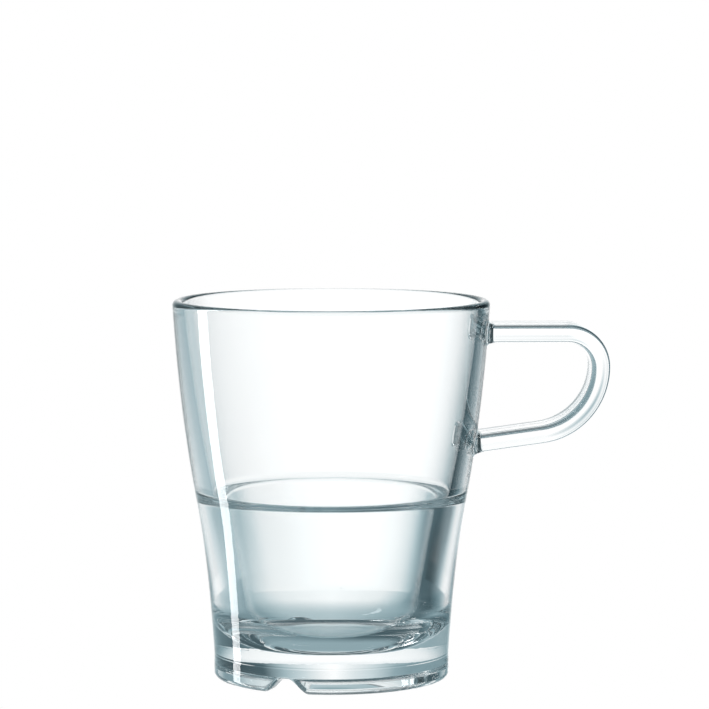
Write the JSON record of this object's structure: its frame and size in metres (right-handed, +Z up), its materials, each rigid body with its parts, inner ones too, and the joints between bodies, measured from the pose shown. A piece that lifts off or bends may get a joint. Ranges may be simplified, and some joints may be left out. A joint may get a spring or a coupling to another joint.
{
  "type": "glass cup",
  "caption": "Clear pressed glass coffee cup with a stepped bowl, a stacking ledge, a thick base with drain notches in the foot and a flat strap handle fused to the wall.",
  "frame": {"origin": "on the cup's axis, on the plane that the foot stands on", "axes": "+Z up along the cup's axis, +X from the axis towards the handle"},
  "size_m": [0.1099, 0.08, 0.0957],
  "materials": {
    "pressed_glass": "fire polished, clear",
    "handle_glass": "fire polished, clear",
    "seat_glass": "fused, clear"
  },
  "bodies": {
    "root": {"cup_body": "pressed_glass", "handle": "handle_glass", "upper_handle_seat": "seat_glass", "lower_handle_seat": "seat_glass"}
  },
  "joints": []
}
